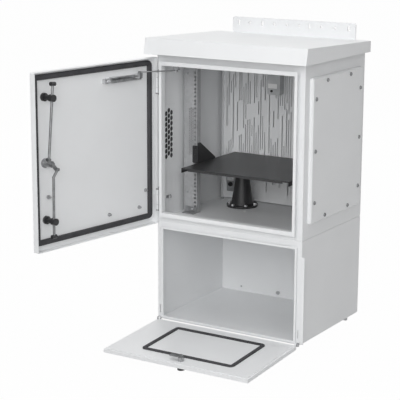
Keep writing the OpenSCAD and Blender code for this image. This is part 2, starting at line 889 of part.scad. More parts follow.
module pedestal() {
    h = shelf_under - floor_z;
    color(black) difference() {
        translate([pedestal_x, pedestal_y, floor_z]) rotate_extrude($fn = 64) polygon([
            [pedestal_cone_r - pedestal_wall, 0],
            [pedestal_r, 0],
            [pedestal_r, pedestal_foot_t],
            [pedestal_cone_r, pedestal_foot_t],
            [pedestal_neck_r, h - pedestal_cap_t],
            [pedestal_cap_r, h - pedestal_cap_t],
            [pedestal_cap_r, h],
            [pedestal_neck_r - pedestal_wall, h]
        ]);
        at_pedestal_bolts(floor_z - 1) cylinder(r = pedestal_bolt_r + bolt_gap, h = pedestal_foot_t + 2);
    }
}

module pedestal_bolts() {
    color(zinc) at_pedestal_bolts(floor_z + pedestal_foot_t) {
        cylinder(r = 7, h = 6, $fn = 6);
        translate([0, 0, -pedestal_foot_t - sheet - 4])
            cylinder(r = pedestal_bolt_r, h = pedestal_foot_t + sheet + 4.01);
    }
}

module sensor_box() {
    lid = 3;
    color(paint) translate([sensor_x, 0, sensor_z]) {
        along_y(panel_y - sensor_d + lid, panel_y) rounded_rect(sensor_w - 2, sensor_h - 2, 4);
        along_y(panel_y - sensor_d, panel_y - sensor_d + lid) rounded_rect(sensor_w, sensor_h, 5);
    }
}

module sensor_knob() {
    color(black) translate([sensor_knob_x, 0, sensor_z - sensor_h / 2 + 14]) {
        bar_y(sensor_knob_r, panel_y - sensor_d - 4, panel_y - sensor_d);
        bar_y(sensor_knob_r - 1.5, panel_y - sensor_d - 8, panel_y - sensor_d - 4);
    }
}

// Clip for a cable on the left wall: a foot with a loop open to the top and bottom
module cable_clip() {
    r = 6.5;
    h = 10;
    color(black) translate([-side_x + sheet, front_y + 66, lower_h + 70]) difference() {
        union() {
            box([0, -15, 0], [2, 15, h]);
            translate([r, 0, 0]) cylinder(r = r, h = h);
        }
        translate([r, 0, -1]) cylinder(r = r - 1.75, h = h + 2);
    }
}

// Hinge half on the cabinet: a plate in the gutter with two knuckles
module hinge_bracket(z) {
    half = knuckle_h / 2 + hinge_air;
    plate_t = 3;
    color(paint) translate([hinge_x, 0, z]) difference() {
        union() {
            for (s = [-1, 1]) translate([0, hinge_y, s * (half + hinge_knuckle_h / 2)]) {
                cylinder(r = knuckle_r, h = hinge_knuckle_h, center = true);
                box(
                    [-knuckle_r + 1.5, 0, -hinge_knuckle_h / 2],
                    [knuckle_r - 1.5, door_gap - plate_t, hinge_knuckle_h / 2]
                );
            }
            box(
                [-knuckle_r, front_y - plate_t, -half - hinge_knuckle_h - 10],
                [knuckle_r, front_y, half + hinge_knuckle_h + 10]
            );
        }
        translate([0, hinge_y, 0]) cylinder(r = pin_r + run, h = 4 * knuckle_h, center = true);
    }
}

module hinge_bracket_upper() {
    hinge_bracket(hinge_zs[1]);
}

module hinge_bracket_lower() {
    hinge_bracket(hinge_zs[0]);
}

module hinge_pins() {
    half = knuckle_h / 2 + hinge_air + hinge_knuckle_h;
    color(zinc) for (z = hinge_zs) translate([hinge_x, hinge_y, z]) {
        translate([0, 0, -half - 3]) cylinder(r = pin_r, h = 2 * half + 3);
        for (s = [-1, 1]) translate([0, 0, s * (half + 2)]) cylinder(r = pin_r + 2.25, h = 4, center = true);
    }
}

// Tab behind the front's top edge with the pivot of the stay rod under it
module stay_bracket() {
    tab_t = 3;
    half = 11;
    y0 = front_y + sheet;
    tab_z = stay_z + stay_eye + air;
    color(zinc) {
        box([stay_x - half, y0, tab_z], [stay_x + half, stay_y + half, tab_z + tab_t]);
        box([stay_x - half, y0, tab_z + tab_t], [stay_x + half, y0 + tab_t, opening_top + 24]);
        translate([stay_x, stay_y, stay_z - stay_eye - air])
            cylinder(r = stay_pin_r, h = 2 * (stay_eye + air) + 0.01);
        translate([stay_x, stay_y, stay_z - stay_eye - air - 2]) cylinder(r = stay_pin_r + 2, h = 2);
    }
}

// Lugs on the front that carry the lower door's pins
module flap_lugs() {
    x0 = flap_ear_x + flap_ear + air;
    color(zinc) for (s = [0, 1]) mirror([s, 0, 0]) along_x(x0, x0 + flap_lug) difference() {
        union() {
            translate([flap_axis_y, flap_axis_z]) circle(flap_knuckle_r);
            translate([flap_axis_y, flap_axis_z - flap_knuckle_r])
                square([front_y - flap_axis_y, 2 * flap_knuckle_r]);
        }
        translate([flap_axis_y, flap_axis_z]) circle(flap_pin_r + run);
    }
}

module flap_pins() {
    x0 = flap_ear_x + air;
    x1 = flap_ear_x + flap_ear + air + flap_lug;
    color(zinc) for (s = [0, 1]) mirror([s, 0, 0]) translate([0, flap_axis_y, flap_axis_z])
        bar_x(flap_pin_r, x0, x1);
}

module upper_door() {
    door_z = door_z0 + door_h / 2;
    color(paint) on_door() difference() {
        along_y(door_face_y, door_edge_y) translate([0, door_z]) rounded_rect(door_w, door_h, 4);
        along_y(door_floor_y, door_edge_y + 1) translate([0, door_z])
            square([door_w - 2 * sheet, door_h - 2 * sheet], center = true);
        for (z = hinge_zs) {
            half = knuckle_h / 2 + hinge_air + hinge_knuckle_h + 5;
            box(
                [door_x0 - 1, hinge_y - hinge_notch, z - half],
                [hinge_x + knuckle_r + 1, hinge_y + 1, z + half]
            );
        }
        translate([lock_x, 0, lock_z]) bar_y(barrel_r + 1, door_face_y - 1, door_floor_y + 1);
    }
}

// Ring whose corners are rounded at the hinges and mitred at the free edge
module upper_seal() {
    w = seal_x1 - seal_x0;
    h = seal_z1 - seal_z0;
    color(seal_grey) on_door() along_y(door_floor_y, seal_top_y)
        translate([seal_x0 + w / 2, seal_z0 + h / 2]) difference() {
            union() {
                rounded_rect(w, h, seal_corner);
                translate([w / 2 - 2 * seal_corner, -h / 2]) square([2 * seal_corner, h]);
            }
            square([w - 2 * seal_w, h - 2 * seal_w], center = true);
        }
}

// Hinge half on the door: the middle knuckle and a leaf inside the door's edge
module hinge_leaf(z) {
    color(paint) on_door() translate([hinge_x, 0, z]) difference() {
        union() {
            translate([0, hinge_y, 0]) cylinder(r = knuckle_r, h = knuckle_h, center = true);
            box(
                [door_x0 + sheet - hinge_x, door_floor_y, -knuckle_h / 2],
                [door_x0 + sheet - hinge_x + 3, hinge_y, knuckle_h / 2]
            );
        }
        translate([0, hinge_y, 0]) cylinder(r = pin_r + run, h = 2 * knuckle_h, center = true);
    }
}

module hinge_leaf_upper() {
    hinge_leaf(hinge_zs[1]);
}

module hinge_leaf_lower() {
    hinge_leaf(hinge_zs[0]);
}

module lock_housing() {
    color(zinc) on_door() translate([lock_x, 0, lock_z]) difference() {
        union() {
            bar_y(barrel_r + 8, door_floor_y, door_floor_y + 5);
            bar_y(barrel_r + 3, door_floor_y, cam_y - air);
        }
        bar_y(barrel_r + run, door_floor_y - 1, cam_y + 1);
    }
}

module lock_rosette() {
    color(black) on_door() translate([lock_x, 0, lock_z]) difference() {
        bar_y(barrel_r + 14, door_face_y - 4, door_face_y);
        bar_y(barrel_r + run, door_face_y - 5, door_face_y + 1);
    }
}

module lock_barrel() {
    color(zinc) on_door() translate([lock_x, 0, lock_z]) difference() {
        bar_y(barrel_r, door_face_y - 7, cam_y);
        translate([0, door_face_y - 2, 0]) rotate([90, 0, 0]) cylinder(r = 5, h = 6, $fn = 4);
    }
}

module lock_cam() {
    color(zinc) on_door() translate([lock_x, 0, lock_z]) rotate([0, -crank_rest, 0]) {
        along_y(cam_y, cam_y + cam_t) {
            square([2 * crank_r, cam_w], center = true);
            circle(barrel_r + 3);
            for (s = [-1, 1]) translate([s * crank_r, 0]) circle(cam_w / 2 - 1);
        }
        translate([0, cam_y + cam_t + 6, 0]) rotate([90, 0, 0]) cylinder(r = barrel_r, h = 6, $fn = 6);
        for (s = [-1, 1]) translate([s * crank_r, 0, 0])
            bar_y(crank_pin_r, cam_y + cam_t - 0.01, rod_y + rod_r + 1.5);
    }
}

// Guide post with an eye that leaves the rod room to sway
module rod_guide(z) {
    color(black) on_door() translate([lock_x, 0, z]) difference() {
        union() {
            bar_y(guide_base_r, door_floor_y, door_floor_y + guide_base_h);
            bar_y(guide_neck_r, door_floor_y, rod_y);
            bar_y(guide_r, rod_y - rod_r - 1 - guide_cap, rod_y + rod_r + 1 + guide_cap);
        }
        box(
            [-guide_slot / 2, rod_y - rod_r - 1, -guide_r - 1],
            [guide_slot / 2, rod_y + rod_r + 1, guide_r + 1]
        );
    }
}

module rod_guide_upper() {
    rod_guide(lock_z + crank_z + rod_up - guide_up);
}

module rod_guide_lower() {
    rod_guide(lock_z - crank_z - rod_down + guide_down);
}

// Carries a rod drawn from its crank pin to the upper or lower pin
module on_crank(side) {
    on_door() translate([lock_x + side * crank_x, rod_y, lock_z + side * crank_z]) children();
}

// Round bar of radius r from one place in X and Z to another
module rod_between(r, a, b) {
    way = b - a;
    translate([a[0], 0, a[1]]) rotate([0, atan2(way[0], way[1]), 0]) cylinder(r = r, h = norm(way));
}

// Rod from its crank pin to its end, through a knee where one is given
module lock_rod(knee, end) {
    bent = norm(knee) > 0;
    difference() {
        union() {
            rod_between(rod_r, knee, end);
            if (bent) rod_between(rod_r, [0, 0], knee);
            if (bent) translate([knee[0], 0, knee[1]]) sphere(rod_r + 0.4);
            bar_y(eye_r, -rod_r - 0.5, rod_r + 0.5);
        }
        bar_y(crank_pin_r + run, -rod_r - 1, rod_r + 1);
    }
}

// Round end piece across the end of a rod
module rod_end(knee, end) {
    way = end - knee;
    difference() {
        translate([end[0], 0, end[1]]) rotate([0, atan2(way[0], way[1]), 0])
            bar_x(rod_end_r, -rod_end_l / 2, rod_end_l / 2);
        rod_between(rod_r + run, knee, end);
    }
}

module upper_rod() {
    color(zinc) on_crank(1) lock_rod([0, 0], rod_head);
}

module upper_rod_end() {
    color(black) on_crank(1) rod_end([0, 0], rod_head);
}

module lower_rod() {
    color(zinc) on_crank(-1) lock_rod(rod_knee, rod_foot);
}

module lower_rod_end() {
    color(black) on_crank(-1) rod_end(rod_knee, rod_foot);
}

module earth_stud() {
    color(zinc) on_door() translate([lock_x - 10, door_floor_y, lock_z - 118]) {
        bar_y(3.5, 0, 17);
        translate([0, 10, 0]) rotate([90, 0, 0]) cylinder(r = 7.5, h = 6, $fn = 6);
    }
}

module door_studs() {
    color(zinc) on_door() for (p = [[19.5, 86], [54.5, 28], [208.5, 27]])
        translate([-opening_x + p[0], door_floor_y, sill_z + p[1]]) {
            bar_y(4, 0, 11);
            bar_y(6.5, 0, 4);
        }
}

// Channel on the door with a slot along its face
module stay_channel() {
    low = channel_top - channel_h;
    color(zinc) on_door() along_x(channel_x, channel_x + channel_l) difference() {
        translate([door_floor_y, low]) square([channel_d, channel_h]);
        translate([door_floor_y + channel_wall, low + channel_wall])
            square([channel_d - 2 * channel_wall, channel_h - 2 * channel_wall]);
        translate([door_floor_y + channel_d / 2, slot_z - channel_slot / 2])
            square([channel_d, channel_slot]);
    }
}

module stay_head() {
    x0 = channel_x + channel_l;
    z = channel_top - channel_h / 2;
    color(zinc) on_door() difference() {
        box([x0, door_floor_y, z - 8], [x0 + 34, door_floor_y + channel_d, z + 8]);
        box([x0 + 7, door_floor_y + 4, z - 5.5], [x0 + 30, door_floor_y + channel_d + 1, z + 5.5]);
        translate([x0 + 19, 0, z]) bar_y(4, door_floor_y - 1, door_floor_y + 5);
    }
}

// Block in the channel with a neck through the slot and a post under the end of the stay rod
module stay_slider() {
    x0 = slider_x - slider_w / 2;
    x1 = slider_x + slider_w / 2;
    y0 = door_floor_y + channel_wall + air;
    y1 = door_floor_y + channel_d - channel_wall - air;
    z = channel_top - channel_h / 2;
    half = channel_h / 2 - channel_wall - air;
    neck = channel_slot / 2 - air;
    post_y = door_floor_y + channel_d + air;
    arm_z = stay_z - stay_eye - air;
    color(zinc) on_door() {
        box([x0, y0, z - half], [x1, y1, z + half]);
        box([x0, y1, slot_z - neck], [x1, post_y, slot_z + neck]);
        box([x0, post_y, slot_z - channel_slot], [x1, slider_y + 6, arm_z]);
    }
}

// Rod from the pivot in the cabinet to the slider
module stay_rod() {
    color(zinc) translate([stay_x, stay_y, stay_z]) rotate([0, 0, stay_turn]) difference() {
        union() {
            bar_x(stay_r, 0, stay_l);
            cylinder(r = 7, h = 2 * stay_eye, center = true);
            translate([stay_l, 0, 0]) cylinder(r = 6, h = 2 * stay_eye, center = true);
        }
        cylinder(r = stay_pin_r + run, h = 4 * stay_r, center = true);
        translate([stay_l, 0, 0]) cylinder(r = 3, h = 4 * stay_r, center = true);
    }
}

// Outline of the lower door with its bottom corners cut away for the lugs
module flap_outline(inset) {
    notch_x = flap_ear_x + flap_ear + air / 2;
    difference() {
        translate([0, flap_z0 + flap_h / 2]) square([flap_w - 2 * inset, flap_h - 2 * inset], center = true);
        for (s = [-1, 1]) translate([s * (notch_x + 50 - inset), flap_axis_z])
            square([100, 2 * (flap_knuckle_r + 5 + inset)], center = true);
    }
}

// The drop-down door's pan has a rim folded inwards, on which the liner sits
module lower_door() {
    rim_y = flap_axis_y - sheet;
    color(paint) on_flap() difference() {
        union() {
            along_y(flap_face_y, rim_y) flap_outline(0);
            for (s = [0, 1]) mirror([s, 0, 0]) along_x(flap_ear_x, flap_ear_x + flap_ear) {
                translate([flap_axis_y, flap_axis_z]) circle(flap_knuckle_r);
                translate([flap_axis_y - flap_knuckle_r, flap_axis_z]) square([flap_knuckle_r - sheet, 8]);
            }
        }
        along_y(flap_face_y + sheet, rim_y - sheet) difference() {
            flap_outline(sheet);
            for (s = [-1, 1]) translate([s * (flap_ear_x + 50 - sheet), 0]) square([100, 40], center = true);
            translate([latch_x, latch_z]) circle(latch_nut_r);
        }
        along_y(rim_y - sheet - 1, rim_y + 1) difference() {
            flap_outline(flap_rim);
            for (s = [-1, 1]) translate([s * (flap_ear_x + 40 - flap_rim), 0])
                square([100, 60], center = true);
            translate([latch_x, latch_z]) circle(latch_nut_r);
        }
        for (s = [0, 1]) mirror([s, 0, 0]) translate([0, flap_axis_y, flap_axis_z])
            bar_x(flap_pin_r + run, flap_ear_x - 4, flap_ear_x + flap_ear + 1);
        translate([latch_x, 0, latch_z]) bar_y(latch_shaft_r + 1, flap_face_y - 1, flap_axis_y);
    }
}

module lower_door_liner() {
    color(paint) on_flap() along_y(flap_axis_y - sheet, flap_axis_y) difference() {
        flap_outline(flap_liner_inset);
        translate([latch_x, latch_z]) circle(latch_shaft_r + 1);
    }
}

module lower_seal() {
    inner_w = flap_seal_w - 2 * flap_seal_band;
    inner_h = flap_seal_h - 2 * flap_seal_band;
    color(seal_grey) on_flap() along_y(flap_axis_y, flap_axis_y + flap_seal_t)
        translate([flap_seal_x, flap_seal_z]) difference() {
            rounded_rect(flap_seal_w, flap_seal_h, 14);
            rounded_rect(inner_w, inner_h, 5);
        }
}

module latch_housing() {
    color(zinc) on_flap() translate([latch_x, 0, latch_z]) difference() {
        translate([0, flap_axis_y + latch_nut_h, 0]) rotate([90, 0, 0])
            cylinder(r = latch_nut_r, h = latch_nut_h, $fn = 6);
        bar_y(latch_shaft_r + run, flap_axis_y - 1, flap_axis_y + latch_nut_h + 1);
    }
}

module latch_knob() {
    knob_r = 13.5;
    color(black) on_flap() translate([latch_x, 0, latch_z]) difference() {
        union() {
            bar_y(knob_r + 2.5, flap_face_y - air - 4, flap_face_y - air);
            bar_y(knob_r, flap_face_y - 18, flap_face_y - 4);
        }
        box([-2, flap_face_y - 19, -knob_r + 4], [2, flap_face_y - 13, knob_r - 4]);
    }
}

// Shaft through the lower door with the tongue that catches behind the opening's top edge
module latch_cam() {
    y0 = flap_axis_y + latch_nut_h + air;
    color(zinc) on_flap() translate([latch_x, 0, latch_z]) {
        bar_y(latch_shaft_r, flap_face_y - air, y0);
        along_y(y0, y0 + latch_tongue_t) {
            circle(latch_nut_r - 2);
            translate([-latch_tongue_l, -8]) square([latch_tongue_l, 16]);
        }
        translate([0, y0 + latch_tongue_t + 4, 0]) rotate([90, 0, 0]) cylinder(r = 8, h = 4, $fn = 6);
    }
}

upper_body();
lower_body();
roof_hood();
roof_rails();
upper_strip();
lower_strip();
strip_bolts();
joining_bolts();
corner_strip();
side_cover();
side_cover_screws();
vent_grille();
vent_filter();
vent_hood();
back_panel();
panel_standoffs();
rack_rail_left();
rack_rail_right();
rail_feet();
shelf();
shelf_brackets();
shelf_runners();
bracket_bolts();
pedestal();
pedestal_bolts();
sensor_box();
sensor_knob();
cable_clip();
hinge_bracket_upper();
hinge_bracket_lower();
hinge_pins();
stay_bracket();
flap_lugs();
flap_pins();
upper_door();
upper_seal();
hinge_leaf_upper();
hinge_leaf_lower();
lock_housing();
lock_rosette();
rod_guide_upper();
rod_guide_lower();
earth_stud();
door_studs();
stay_channel();
stay_head();
lock_barrel();
lock_cam();
upper_rod();
upper_rod_end();
lower_rod();
lower_rod_end();
stay_slider();
stay_rod();
lower_door();
lower_door_liner();
lower_seal();
latch_housing();
latch_knob();
latch_cam();
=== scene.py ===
"""Finishes, small fittings and studio stage of the roadside equipment cabinet, laid out as an add-on."""

import json
import math

import bmesh
import bpy
import numpy as np
from mathutils import Matrix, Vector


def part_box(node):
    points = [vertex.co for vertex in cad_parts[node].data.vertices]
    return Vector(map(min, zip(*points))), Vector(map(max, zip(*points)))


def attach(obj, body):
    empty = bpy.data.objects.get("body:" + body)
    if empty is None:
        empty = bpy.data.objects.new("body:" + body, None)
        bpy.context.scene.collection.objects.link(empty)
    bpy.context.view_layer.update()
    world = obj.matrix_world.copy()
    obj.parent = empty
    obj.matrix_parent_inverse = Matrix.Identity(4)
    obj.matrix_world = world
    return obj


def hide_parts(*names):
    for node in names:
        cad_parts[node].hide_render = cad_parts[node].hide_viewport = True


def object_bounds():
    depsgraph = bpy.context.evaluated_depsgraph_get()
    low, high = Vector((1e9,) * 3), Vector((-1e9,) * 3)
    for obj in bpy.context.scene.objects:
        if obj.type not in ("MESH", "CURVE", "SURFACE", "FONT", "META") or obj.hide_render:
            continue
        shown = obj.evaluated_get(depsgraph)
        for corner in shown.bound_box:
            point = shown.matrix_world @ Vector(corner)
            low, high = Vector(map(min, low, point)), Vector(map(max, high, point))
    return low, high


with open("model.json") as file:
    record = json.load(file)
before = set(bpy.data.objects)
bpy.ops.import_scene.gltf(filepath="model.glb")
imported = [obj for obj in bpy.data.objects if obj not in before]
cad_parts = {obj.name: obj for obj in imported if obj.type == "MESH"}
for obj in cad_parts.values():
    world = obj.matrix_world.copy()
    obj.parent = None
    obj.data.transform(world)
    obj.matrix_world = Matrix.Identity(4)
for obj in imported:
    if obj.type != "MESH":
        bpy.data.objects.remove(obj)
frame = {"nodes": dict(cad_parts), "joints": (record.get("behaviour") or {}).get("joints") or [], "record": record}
CAD_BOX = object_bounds()

bl_info = {
    "name": "Equipment cabinet finishes",
    "version": (1, 0, 0),
    "blender": (4, 5, 0),
    "location": "View3D > Sidebar > Cabinet",
    "description": "Paints, fittings and stage for a roadside equipment cabinet",
    "category": "Object",
}

SLOTS = {s["node"]: s["material_slot"] for s in frame["record"]["subparts"]}
JOINTS = {joint["name"]: joint for joint in frame["joints"]}
MM = 0.001
SIDES = (-1, 1)
FRONT = (0.0, -1.0, 0.0)
RIGHT = (1.0, 0.0, 0.0)
UP = (0.0, 0.0, 1.0)
WHITE = (1.0, 1.0, 1.0, 1.0)

# Pieces whose finish differs from that of their slot
RAILS = ("rack_rail_left", "rack_rail_right")
# Fittings given a darker copy of the zinc plate: painted shade and dark reflection on rods, cams and cover screws
SHADED_PIECES = ("upper_rod", "lower_rod", "lock_cam", "lock_barrel", "latch_cam", "stay_rod")
# Fittings given a lighter copy of the zinc plate: painted light on the shaded stay channel, its head and the bolts
LIT_PIECES = ("stay_channel", "stay_head", "pedestal_bolts", "strip_bolts")

# Points along the curves of a piece, how its mesh is closed and shaded, and rays for a rounded fold
CORNER_STEPS = 9
BEAD_STEPS = 25
HEAD_RINGS = 22
HEAD_STEPS = 48
TURNED_STEPS = 40
MERGE_DISTANCE = 1e-6
SHARP_ANGLE = math.radians(40.0)
FOLD_SAMPLES = 4

# Seal rings on the closed doors: outer size, corner radii anticlockwise from the upper right, middle in X
# and Z, and the face that the bead stands on
UPPER_RING = {
    "size": (575 * MM, 581.5 * MM),
    "radii": (0.0, 10 * MM, 10 * MM, 0.0),
    "middle": (7 * MM, 679.75 * MM),
    "base_y": -266 * MM,
}
LOWER_RING = {
    "size": (375 * MM, 238 * MM),
    "radii": (9 * MM,) * 4,
    "middle": (11 * MM, 173 * MM),
    "base_y": -241 * MM,
}

# Screws on rails, rail feet and hinge plates: places, sizes against the common radius, height of a head
# against its own radius, and turn from each to the next
RAIL_SCREW_X = 264.5 * MM
RAIL_SCREW_Z = (906 * MM, 460 * MM)
RAIL_SCREW_SIZE = 1.0
FOOT_SCREW_X = 245 * MM
FOOT_SCREW_IN = 22 * MM
FOOT_SCREW_UP = 14 * MM
FOOT_SCREW_SIZE = 1.15
HINGE_SCREW_IN = 3 * MM
HINGE_SCREW_END = 4 * MM
HINGE_SCREW_SIZE = 0.72
SCREW_HEIGHT = 0.5
SCREW_TWIST = 0.7

# Screws of the side cover: spacing along its upright and level edges, shank, and turn from each to the next
COVER_SCREW_RISE = 182 * MM
COVER_SCREW_SPREAD = 91.5 * MM
COVER_SHANK_RADIUS = 3 * MM
COVER_SCREW_TWIST = 0.9

# Label and gland: places in X and Z, sizes, and the gland's profile of radius and height in millimetres
LABEL_X, LABEL_Z = -49.5 * MM, 845 * MM
LABEL_THICK, LABEL_CORNER = 0.8 * MM, 2 * MM
GLAND_PLATE_X, GLAND_PLATE_Z = -243.5 * MM, 434 * MM
GLAND_PLATE_WIDTH, GLAND_PLATE_HEIGHT = 30 * MM, 42 * MM
GLAND_PLATE_THICK, GLAND_PLATE_CORNER = 2 * MM, 3 * MM
GLAND_X, GLAND_Z = -241 * MM, 442 * MM
GLAND_PROFILE = [
    (0, -1), (9, -1), (9, 5), (8, 6), (7, 6),
    (6.4, 10), (5.4, 11), (4.2, 11), (3.8, 6), (0, 6),
]

# Stage: half the floor's width, how far it turns white to what looks at it, and the light from all round
FLOOR_REACH = 30.0
FLOOR_WHITENESS = 0.985
AMBIENT = 0.28

# Soft boxes: name, place, target, size in metres, power in watts, and whether glossy faces show it
LAMPS = (
    ("front", (0.9, -4.0, 2.2), (0.0, -0.2, 0.5), 2.4, 70.0, True),
    ("top", (0.2, -0.4, 4.4), (0.0, 0.0, 0.5), 2.8, 54.0, True),
    ("right", (3.6, -2.6, 2.2), (0.0, -0.2, 0.5), 2.4, 18.0, True),
    ("fill", (2.2, -3.6, 0.9), (0.0, -0.2, 0.5), 2.4, 20.0, True),
    ("back", (-2.6, 3.6, 1.8), (0.0, 0.0, 0.5), 2.4, 50.0, False),
)

# Camera: the point it looks at, its sensor's width in millimetres, and how far it sees
CAMERA_TARGET = (-0.118013, -0.233, 0.473926)
SENSOR_WIDTH = 36.0
CAMERA_REACH = 100.0


class Wire:
    """A value on its way through a node tree: arithmetic on it adds Math nodes."""

    def __init__(self, nodes, socket):
        self.nodes = nodes
        self.socket = socket

    def _math(self, operation, first, second):
        return self.nodes.node("ShaderNodeMath", {"operation": operation}, {0: first, 1: second})

    def __add__(self, other):
        return self._math("ADD", self, other)

    def __radd__(self, other):
        return self._math("ADD", other, self)

    def __mul__(self, other):
        return self._math("MULTIPLY", self, other)

    def __rmul__(self, other):
        return self._math("MULTIPLY", other, self)


class Nodes:
    """A node tree under construction, emptied and given its output node."""

    def __init__(self, tree, output):
        self.tree = tree
        self.tree.nodes.clear()
        self.output = self.tree.nodes.new(output)

    def feed(self, node, sockets):
        """Sets each named or numbered socket to a value, or links it to a wire."""
        for key, value in sockets.items():
            if isinstance(value, Wire):
                self.tree.links.new(value.socket, node.inputs[key])
            else:
                node.inputs[key].default_value = value

    def node(self, kind, settings=None, sockets=None, out=0):
        """Adds a node of that type, with its settings first, and gives the wire of one output."""
        node = self.tree.nodes.new(kind)
        for key, value in (settings or {}).items():
            setattr(node, key, value)
        self.feed(node, sockets or {})
        return Wire(self, node.outputs[out])

    def seen(self):
        """1 for rays from the camera, from mirrors and through glass, and 0 for light on the object."""
        camera = self.node("ShaderNodeLightPath", out="Is Camera Ray")
        mirror = self.node("ShaderNodeLightPath", out="Is Glossy Ray")
        glass = self.node("ShaderNodeLightPath", out="Is Transmission Ray")
        return camera + mirror + glass

    def show(self, amount, first, second):
        """Ends the tree in a mix of two shaders, from first to second by amount."""
        blend = self.node("ShaderNodeMixShader", None, {0: amount, 1: first, 2: second})
        self.feed(self.output, {"Surface": blend})


class Finish(Nodes):
    """One material under construction: a Principled shader and the nodes that feed it."""

    def __init__(self, name, **constants):
        self.material = bpy.data.materials.new(name)
        self.material.use_nodes = True
        super().__init__(self.material.node_tree, "ShaderNodeOutputMaterial")
        self.shader = self.node("ShaderNodeBsdfPrincipled")
        self.feed(self.output, {"Surface": self.shader})
        self.wear(**constants)

    def place(self):
        """Object coordinates in metres."""
        return self.node("ShaderNodeTexCoord", out="Object")

    def noise(self, scale, detail=2.0, roughness=0.5, stretch=None):
        """Value noise from 0 to 1 at a scale per metre, drawn out where stretch is below 1."""
        place = self.place()
        if stretch:
            place = self.node("ShaderNodeMapping", None, {"Vector": place, "Scale": stretch})
        sockets = {"Vector": place, "Scale": scale, "Detail": detail, "Roughness": roughness}
        return self.node("ShaderNodeTexNoise", None, sockets, "Fac")

    def span(self, value, low, high):
        """Value from low to high, made 0 to 1 and clamped."""
        sockets = {"Value": value, "From Min": low, "From Max": high}
        return self.node("ShaderNodeMapRange", {"clamp": True}, sockets)

    def mix(self, amount, first, second):
        """Colour from first to second by amount."""
        return self.node("ShaderNodeMix", {"data_type": "RGBA"}, {0: amount, 6: first, 7: second}, 2)

    def tint(self, value, colour, dark, light, low=0.3, high=0.7):
        """Colour from its dark to its light shade as the value goes from low to high."""
        return self.mix(self.span(value, low, high), shade(colour, dark), shade(colour, light))

    def bump(self, height, strength, distance, fold=None):
        """Normal of a surface raised by height, in metres at full distance, on edges rounded by fold."""
        sockets = {"Height": height, "Strength": strength, "Distance": distance}
        if fold:
            sockets["Normal"] = self.node("ShaderNodeBevel", {"samples": FOLD_SAMPLES}, {"Radius": fold})
        return self.node("ShaderNodeBump", None, sockets)

    def wear(self, **sockets):
        """Feeds the shader's sockets and gives the finished material."""
        named = {key.replace("_", " "): value for key, value in sockets.items()}
        self.feed(self.shader.socket.node, named)
        return self.material


def shade(colour, factor):
    """The colour made lighter or darker by a factor, as red, green, blue and alpha."""
    return tuple(min(1.0, channel * factor) for channel in colour[:3]) + (1.0,)


def powder_coat(name, colour, gloss, peel, ior):
    """Powder coat: orange-peel bump, faint cloudiness in colour and gloss, soft folded edges."""
    finish = Finish(name, IOR=ior)
    cloud = finish.noise(4.0, detail=3.0)
    speck = finish.noise(260.0, detail=1.0)
    skin = finish.noise(520.0)
    return finish.wear(
        Base_Color=finish.tint(cloud * 0.8 + speck * 0.2, colour, dark=0.975, light=1.02),
        Roughness=gloss + 0.10 * cloud,
        Normal=finish.bump(skin, strength=peel, distance=0.4 * MM, fold=1.2 * MM),
    )


def zinc_plate(name, colour, gloss):
    """Zinc-plated steel: metal with drawn streaks and patchy brightness, which is partly the plating's own uneven
    tone and partly painted reflection.
    """
    finish = Finish(name, Metallic=0.85)
    # Patches of lighter and darker plating; their wide spread also paints the glints and dark reflections of the
    # metal
    tone_and_glint = finish.noise(60.0, detail=3.0)
    streak = finish.noise(300.0, roughness=0.6, stretch=(1.0, 1.0, 0.12))
    return finish.wear(
        Base_Color=finish.tint(tone_and_glint, colour, dark=0.74, light=1.16),
        Roughness=gloss + 0.22 * streak,
        Normal=finish.bump(streak, strength=0.12, distance=0.3 * MM, fold=0.6 * MM),
    )


def galvanised_sheet(name, colour):
    """Galvanised sheet: crystals of slightly different grey and gloss, from a cell pattern, under a bloom."""
    finish = Finish(name, Metallic=0.25)
    cell = finish.node("ShaderNodeTexVoronoi", None, {"Vector": finish.place(), "Scale": 95.0}, "Color")
    crystal = finish.node("ShaderNodeSeparateColor", None, {0: cell})
    bloom = finish.noise(9.0, detail=3.0)
    return finish.wear(
        Base_Color=finish.tint(crystal * 0.5 + bloom, colour, dark=0.9, light=1.1, high=1.1),
        Roughness=0.42 + 0.16 * crystal,
        Normal=finish.bump(crystal, strength=0.06, distance=0.2 * MM, fold=0.8 * MM),
    )


def foam_rubber(name, colour):
    """Foamed rubber seal: matt and finely porous."""
    finish = Finish(name)
    pore = finish.noise(900.0, roughness=0.7)
    cloud = finish.noise(25.0)
    return finish.wear(
        Base_Color=finish.tint(cloud, colour, dark=0.8, light=1.25),
        Roughness=0.72 + 0.16 * pore,
        Normal=finish.bump(pore, strength=0.5, distance=0.5 * MM),
    )


def moulded_plastic(name, colour, gloss):
    """Moulded plastic: fine spark-eroded grain."""
    finish = Finish(name)
    grain = finish.noise(1100.0, detail=1.0)
    cloud = finish.noise(18.0)
    return finish.wear(
        Base_Color=finish.tint(cloud, colour, dark=0.9, light=1.12),
        Roughness=gloss + 0.12 * grain,
        Normal=finish.bump(grain, strength=0.3, distance=0.2 * MM, fold=0.6 * MM),
    )


def filter_mat(name, colour):
    """Filter mat: tangled fibres as two crossed noises drawn out along different axes."""
    finish = Finish(name)
    along = finish.noise(500.0, detail=3.0, roughness=0.6, stretch=(1.0, 0.15, 1.0))
    across = finish.noise(500.0, detail=3.0, roughness=0.6, stretch=(1.0, 1.0, 0.15))
    fibre = finish.span(along + across, 0.75, 1.25)
    return finish.wear(
        Base_Color=finish.mix(fibre, shade(colour, 0.5), shade(colour, 1.6)),
        Roughness=0.85 + 0.1 * fibre,
        Normal=finish.bump(fibre, strength=0.6, distance=0.6 * MM),
    )


